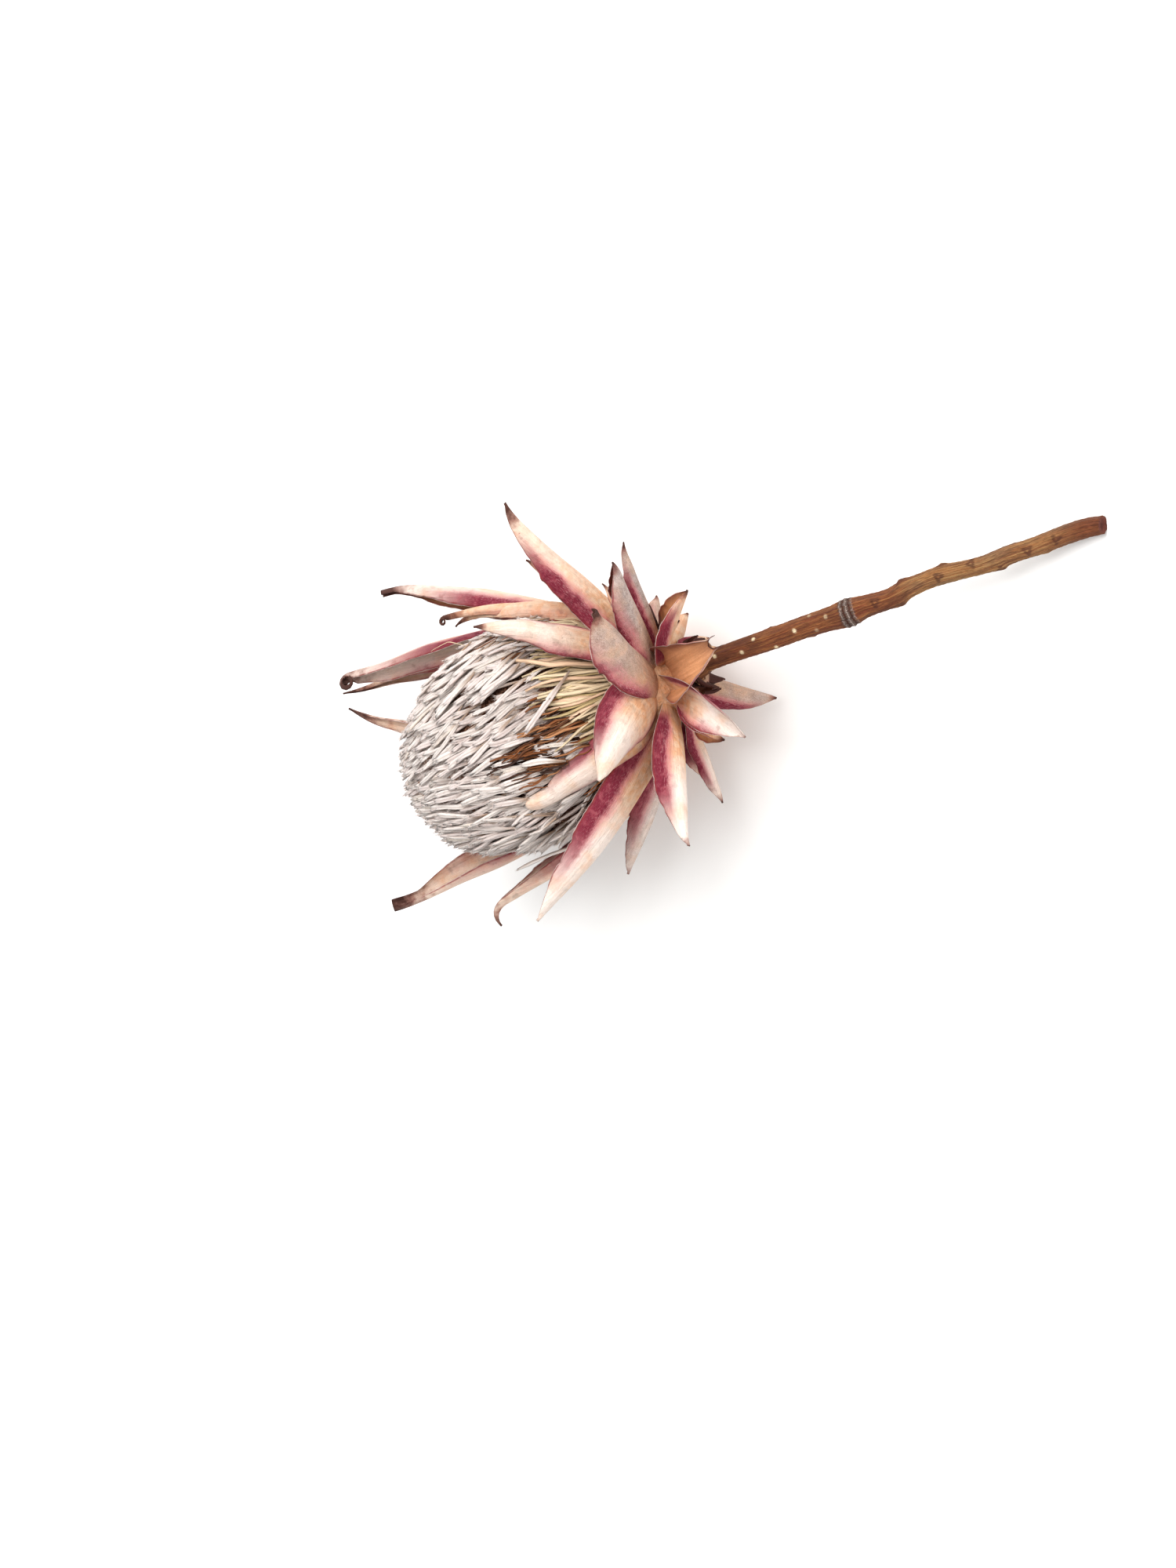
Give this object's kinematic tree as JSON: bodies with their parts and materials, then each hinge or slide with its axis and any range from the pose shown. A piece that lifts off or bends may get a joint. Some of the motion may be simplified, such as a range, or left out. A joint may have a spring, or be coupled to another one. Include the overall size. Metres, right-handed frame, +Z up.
{
  "type": "king protea flower",
  "caption": "Dried king protea flower head with boat-shaped bracts round a dome of woolly florets, cut with its woody stem and lying on its side.",
  "frame": {"origin": "on the surface that the flower lies on, under the middle of its bounding box", "axes": "+X towards the cut end of the stem, the head at -X, +Y across the flower, +Z up from the surface"},
  "size_m": [0.397, 0.1822, 0.1224],
  "materials": {
    "wood": "dry bark, golden brown, lightly grained",
    "bract": "dry papery petal, cream to pink with maroon edges",
    "wool": "fine dry wool, grey-white"
  },
  "bodies": {
    "root": {"stem": "wood", "bracts": "bract", "florets": "wool"}
  },
  "joints": []
}
